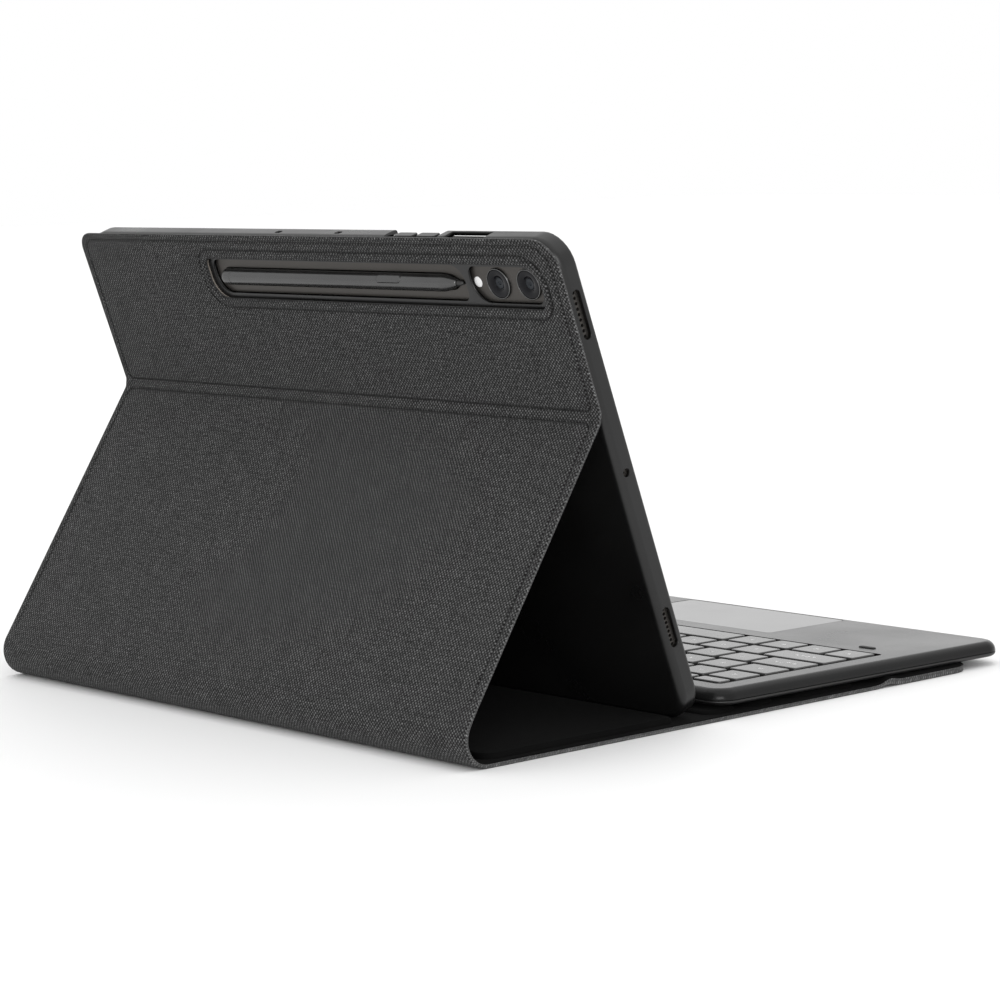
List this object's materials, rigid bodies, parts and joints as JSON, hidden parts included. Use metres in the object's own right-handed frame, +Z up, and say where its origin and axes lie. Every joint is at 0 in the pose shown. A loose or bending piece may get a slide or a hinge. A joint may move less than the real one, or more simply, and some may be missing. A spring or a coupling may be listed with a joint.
{
  "type": "tablet keyboard case",
  "caption": "Folding fabric case that stands a tablet up in a tray, with a thin keyboard and trackpad lying on its front half and a stylus in its back window.",
  "frame": {"origin": "on the table, under the centre of the box round the whole case as it stands", "axes": "+X to the typist's right, +Y from the typist to the back of the stand, +Z up"},
  "size_m": [0.292, 0.2839, 0.1818],
  "materials": {
    "cover_fabric": "matt woven",
    "lining": "matt microfibre",
    "board": "pressed board",
    "tray_plastic": "satin",
    "tablet_metal": "fine blasted, anodised dark grey",
    "screen_glass": "polished black glass",
    "lens_ring": "polished rim",
    "lens_glass": "polished",
    "flash": "translucent white",
    "side_key_metal": "satin",
    "stylus_body": "satin",
    "stylus_nib": "matt",
    "deck_plastic": "satin",
    "bottom_plastic": "satin",
    "steel": "plain",
    "membrane": "film",
    "silicone": "matt",
    "circuit": "solder mask",
    "battery": "foil pouch",
    "rubber": "matt",
    "light_pipe": "translucent",
    "trackpad_surface": "fine satin",
    "switch_plastic": "satin",
    "key_plastic": "satin"
  },
  "bodies": {
    "base": {"base_cover": "cover_fabric", "base_rear_board": "board", "base_front_board": "board", "base_lining": "lining", "stand_pad": "lining", "angle_stops": "lining", "base_magnets": "steel"},
    "spine": {"spine_cover": "cover_fabric", "spine_board": "board"},
    "leg": {"leg_cover": "cover_fabric", "leg_board": "board", "leg_lining": "lining"},
    "tray": {"upper_cover": "cover_fabric", "upper_board": "board", "tray_shell": "tray_plastic"},
    "tablet": {"tablet_housing": "tablet_metal", "tablet_glass": "screen_glass", "camera_rings": "lens_ring", "camera_lenses": "lens_glass", "camera_flash": "flash", "card_tray": "side_key_metal"},
    "power_key": {"power_key": "side_key_metal"},
    "volume_key": {"volume_key": "side_key_metal"},
    "stylus": {"stylus_barrel": "stylus_body", "stylus_nib": "stylus_nib", "stylus_cap": "stylus_body"},
    "stylus_button": {"stylus_button": "stylus_body"},
    "keyboard": {"keyboard_deck": "deck_plastic", "keyboard_bottom": "bottom_plastic", "key_plate": "steel", "key_membrane": "membrane", "key_domes": "silicone", "main_board": "circuit", "battery_cells": "battery", "keyboard_feet": "rubber", "screen_bumpers": "rubber", "keyboard_magnets": "steel", "status_lights": "light_pipe", "keyboard_usb_socket": "steel", "keyboard_screws": "steel"},
    "trackpad": {"trackpad": "trackpad_surface"},
    "power_switch": {"power_switch": "switch_plastic"},
    "function_row_keys": {"function_row_keys": "key_plastic"},
    "number_row_keys": {"number_row_keys": "key_plastic"},
    "backspace_key": {"backspace_key": "key_plastic"},
    "tab_key": {"tab_key": "key_plastic"},
    "top_letter_keys": {"top_letter_keys": "key_plastic"},
    "caps_key": {"caps_key": "key_plastic"},
    "home_letter_keys": {"home_letter_keys": "key_plastic"},
    "enter_key": {"enter_key": "key_plastic"},
    "left_shift_key": {"left_shift_key": "key_plastic"},
    "bottom_letter_keys": {"bottom_letter_keys": "key_plastic"},
    "right_shift_key": {"right_shift_key": "key_plastic"},
    "left_modifier_keys": {"left_modifier_keys": "key_plastic"},
    "space_bar": {"space_bar": "key_plastic"},
    "right_modifier_keys": {"right_modifier_keys": "key_plastic"},
    "arrow_keys": {"arrow_keys": "key_plastic"}
  },
  "joints": [
    {"name": "spine_crease", "type": "hinge", "parent": "base", "child": "spine", "pos_m": [0, 0.13321, 0], "axis": [-1, 0, 0], "range_deg": [0, 59.5]},
    {"name": "leg_crease", "type": "hinge", "parent": "spine", "child": "leg", "pos_m": [0, 0.14201, 0.0162], "axis": [-1, 0, 0], "range_deg": [0, 59.5]},
    {"name": "tray_fold", "type": "hinge", "parent": "leg", "child": "tray", "pos_m": [0, 0.07705, 0.11622], "axis": [1, 0, 0], "range_deg": [0, 50.32]},
    {"name": "tablet_slide", "type": "slide", "parent": "tray", "child": "tablet", "axis": [0, -0.9455, 0.3256], "range_m": [0, 0.007]},
    {"name": "power_key_press", "type": "slide", "parent": "tablet", "child": "power_key", "axis": [0, -0.3256, -0.9455], "range_m": [0, 0.0004], "stiffness_N_per_m": 3000, "springref_m": -0.0003},
    {"name": "volume_key_press", "type": "slide", "parent": "tablet", "child": "volume_key", "axis": [0, -0.3256, -0.9455], "range_m": [0, 0.0004], "stiffness_N_per_m": 3000, "springref_m": -0.0003},
    {"name": "stylus_lift", "type": "slide", "parent": "tablet", "child": "stylus", "axis": [0, 0.9455, -0.3256], "range_m": [0, 0.006]},
    {"name": "stylus_button_press", "type": "slide", "parent": "stylus", "child": "stylus_button", "axis": [0, -0.9563, -0.2924], "range_m": [0, 0.0003], "stiffness_N_per_m": 3000, "springref_m": -0.0003},
    {"name": "keyboard_lift", "type": "slide", "parent": "base", "child": "keyboard", "axis": [0, 0, 1], "range_m": [0, 0.06]},
    {"name": "trackpad_click", "type": "hinge", "parent": "keyboard", "child": "trackpad", "pos_m": [0, -0.09186, 0.00934], "axis": [1, 0, 0], "range_deg": [0, 0.6], "stiffness_Nm_per_rad": 6, "springref_deg": -0.34},
    {"name": "power_switch_slide", "type": "slide", "parent": "keyboard", "child": "power_switch", "axis": [0, 1, 0.0087], "range_m": [0, 0.0025]},
    {"name": "function_row_keys_press", "type": "slide", "parent": "keyboard", "child": "function_row_keys", "axis": [0, 0.0087, -1], "range_m": [0, 0.0013], "stiffness_N_per_m": 1300, "springref_m": -0.001},
    {"name": "number_row_keys_press", "type": "slide", "parent": "keyboard", "child": "number_row_keys", "axis": [0, 0.0087, -1], "range_m": [0, 0.0013], "stiffness_N_per_m": 1120, "springref_m": -0.001},
    {"name": "backspace_key_press", "type": "slide", "parent": "keyboard", "child": "backspace_key", "axis": [0, 0.0087, -1], "range_m": [0, 0.0013], "stiffness_N_per_m": 400, "springref_m": -0.001},
    {"name": "tab_key_press", "type": "slide", "parent": "keyboard", "child": "tab_key", "axis": [0, 0.0087, -1], "range_m": [0, 0.0013], "stiffness_N_per_m": 400, "springref_m": -0.001},
    {"name": "top_letter_keys_press", "type": "slide", "parent": "keyboard", "child": "top_letter_keys", "axis": [0, 0.0087, -1], "range_m": [0, 0.0013], "stiffness_N_per_m": 1120, "springref_m": -0.001},
    {"name": "caps_key_press", "type": "slide", "parent": "keyboard", "child": "caps_key", "axis": [0, 0.0087, -1], "range_m": [0, 0.0013], "stiffness_N_per_m": 400, "springref_m": -0.001},
    {"name": "home_letter_keys_press", "type": "slide", "parent": "keyboard", "child": "home_letter_keys", "axis": [0, 0.0087, -1], "range_m": [0, 0.0013], "stiffness_N_per_m": 1000, "springref_m": -0.001},
    {"name": "enter_key_press", "type": "slide", "parent": "keyboard", "child": "enter_key", "axis": [0, 0.0087, -1], "range_m": [0, 0.0013], "stiffness_N_per_m": 400, "springref_m": -0.001},
    {"name": "left_shift_key_press", "type": "slide", "parent": "keyboard", "child": "left_shift_key", "axis": [0, 0.0087, -1], "range_m": [0, 0.0013], "stiffness_N_per_m": 400, "springref_m": -0.001},
    {"name": "bottom_letter_keys_press", "type": "slide", "parent": "keyboard", "child": "bottom_letter_keys", "axis": [0, 0.0087, -1], "range_m": [0, 0.0013], "stiffness_N_per_m": 940, "springref_m": -0.001},
    {"name": "right_shift_key_press", "type": "slide", "parent": "keyboard", "child": "right_shift_key", "axis": [0, 0.0087, -1], "range_m": [0, 0.0013], "stiffness_N_per_m": 400, "springref_m": -0.001},
    {"name": "left_modifier_keys_press", "type": "slide", "parent": "keyboard", "child": "left_modifier_keys", "axis": [0, 0.0087, -1], "range_m": [0, 0.0013], "stiffness_N_per_m": 580, "springref_m": -0.001},
    {"name": "space_bar_press", "type": "slide", "parent": "keyboard", "child": "space_bar", "axis": [0, 0.0087, -1], "range_m": [0, 0.0013], "stiffness_N_per_m": 400, "springref_m": -0.001},
    {"name": "right_modifier_keys_press", "type": "slide", "parent": "keyboard", "child": "right_modifier_keys", "axis": [0, 0.0087, -1], "range_m": [0, 0.0013], "stiffness_N_per_m": 520, "springref_m": -0.001},
    {"name": "arrow_keys_press", "type": "slide", "parent": "keyboard", "child": "arrow_keys", "axis": [0, 0.0087, -1], "range_m": [0, 0.0013], "stiffness_N_per_m": 580, "springref_m": -0.001}
  ],
  "couplings": [
    {"joint": "leg_crease", "follows": "spine_crease", "ratio": 1},
    {"joint": "tray_fold", "follows": "spine_crease", "ratio": 0.84553}
  ]
}
